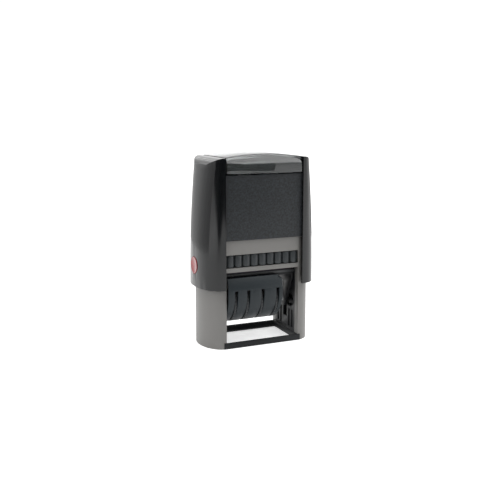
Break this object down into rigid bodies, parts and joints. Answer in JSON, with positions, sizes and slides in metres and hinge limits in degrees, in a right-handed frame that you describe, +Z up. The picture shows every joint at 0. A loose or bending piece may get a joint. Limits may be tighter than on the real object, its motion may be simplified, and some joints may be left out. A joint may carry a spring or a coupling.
{
  "type": "self-inking rotary date stamp",
  "caption": "Self-inking date stamp: sliding cap over a windowed base, flipping carrier with date bands and thumb wheels, slide-out ink pad and side lock buttons.",
  "frame": {"origin": "middle of the base on the floor", "axes": "+Z up to the cap, front face towards -Y, long side of the text plate along X"},
  "size_m": [0.0674, 0.0368, 0.1031],
  "materials": {
    "taupe_plastic": "satin moulded plastic",
    "black_gloss": "gloss",
    "black_texture": "fine spark-eroded texture",
    "black_satin": "satin",
    "clear_window": "clear polished plastic",
    "card": "coated card",
    "button_red": "gloss",
    "pin_steel": "ground",
    "spring_steel": "drawn wire",
    "plate_plastic": "moulded",
    "die_rubber": "laser-cut rubber, ink stained",
    "band_rubber": "moulded rubber",
    "pad_foam": "ink-soaked foam"
  },
  "bodies": {
    "base": {"base_housing": "taupe_plastic", "bottom_frame": "black_satin", "left_guide": "black_satin", "right_guide": "black_satin", "spring_bridge": "black_satin", "return_spring": "spring_steel"},
    "pad": {"pad_cassette": "black_satin", "ink_pad": "pad_foam"},
    "cap": {"cap_shell": "black_gloss", "front_panel": "black_texture", "back_panel": "black_texture", "drive_yoke": "black_satin", "index_card": "card"},
    "window": {"index_window": "clear_window"},
    "lock_left": {"left_lock_button": "button_red"},
    "lock_right": {"right_lock_button": "button_red"},
    "carrier": {"carrier_frame": "black_satin", "wheel_cover": "black_satin", "pivot_pins": "pin_steel", "cam_pins": "pin_steel", "wheel_axle": "pin_steel", "band_bridge": "black_satin", "text_plate": "plate_plastic", "text_die": "die_rubber", "date_band_1": "band_rubber", "date_band_2": "band_rubber", "date_band_3": "band_rubber", "date_band_4": "band_rubber"},
    "wheel_1": {"date_wheel_1": "black_satin"},
    "wheel_2": {"date_wheel_2": "black_satin"},
    "wheel_3": {"date_wheel_3": "black_satin"},
    "wheel_4": {"date_wheel_4": "black_satin"}
  },
  "joints": [
    {"name": "cap_press", "type": "slide", "parent": "base", "child": "cap", "axis": [0, 0, -1], "range_m": [0, 0.0167], "stiffness_N_per_m": 780, "springref_m": -0.0064, "deforming": ["return_spring"]},
    {"name": "carrier_flip", "type": "hinge", "parent": "cap", "child": "carrier", "pos_m": [0, 0, 0.0293], "axis": [-1, 0, 0], "range_deg": [0, 180]},
    {"name": "pad_slide", "type": "slide", "parent": "base", "child": "pad", "axis": [0, 1, 0], "range_m": [0, 0.038]},
    {"name": "window_lift", "type": "slide", "parent": "cap", "child": "window", "axis": [0, 0, 1], "range_m": [0, 0.012]},
    {"name": "left_lock", "type": "slide", "parent": "cap", "child": "lock_left", "axis": [-1, 0, 0], "range_m": [-0.0014, 0], "stiffness_N_per_m": 150, "springref_m": 0.0008},
    {"name": "right_lock", "type": "slide", "parent": "cap", "child": "lock_right", "axis": [1, 0, 0], "range_m": [-0.0014, 0], "stiffness_N_per_m": 150, "springref_m": 0.0008},
    {"name": "date_wheel_1_turn", "type": "hinge", "parent": "carrier", "child": "wheel_1", "pos_m": [-0.0162, -0.0045, 0.0252], "axis": [1, 0, 0], "continuous": true},
    {"name": "date_wheel_2_turn", "type": "hinge", "parent": "carrier", "child": "wheel_2", "pos_m": [-0.0092, -0.0045, 0.0252], "axis": [1, 0, 0], "continuous": true},
    {"name": "date_wheel_3_turn", "type": "hinge", "parent": "carrier", "child": "wheel_3", "pos_m": [-0.0008, -0.0045, 0.0252], "axis": [1, 0, 0], "continuous": true},
    {"name": "date_wheel_4_turn", "type": "hinge", "parent": "carrier", "child": "wheel_4", "pos_m": [0.0079, -0.0045, 0.0252], "axis": [1, 0, 0], "continuous": true}
  ],
  "couplings": [
    {"joint": "carrier_flip", "follows": "cap_press", "rad_per_m": 188.11}
  ]
}
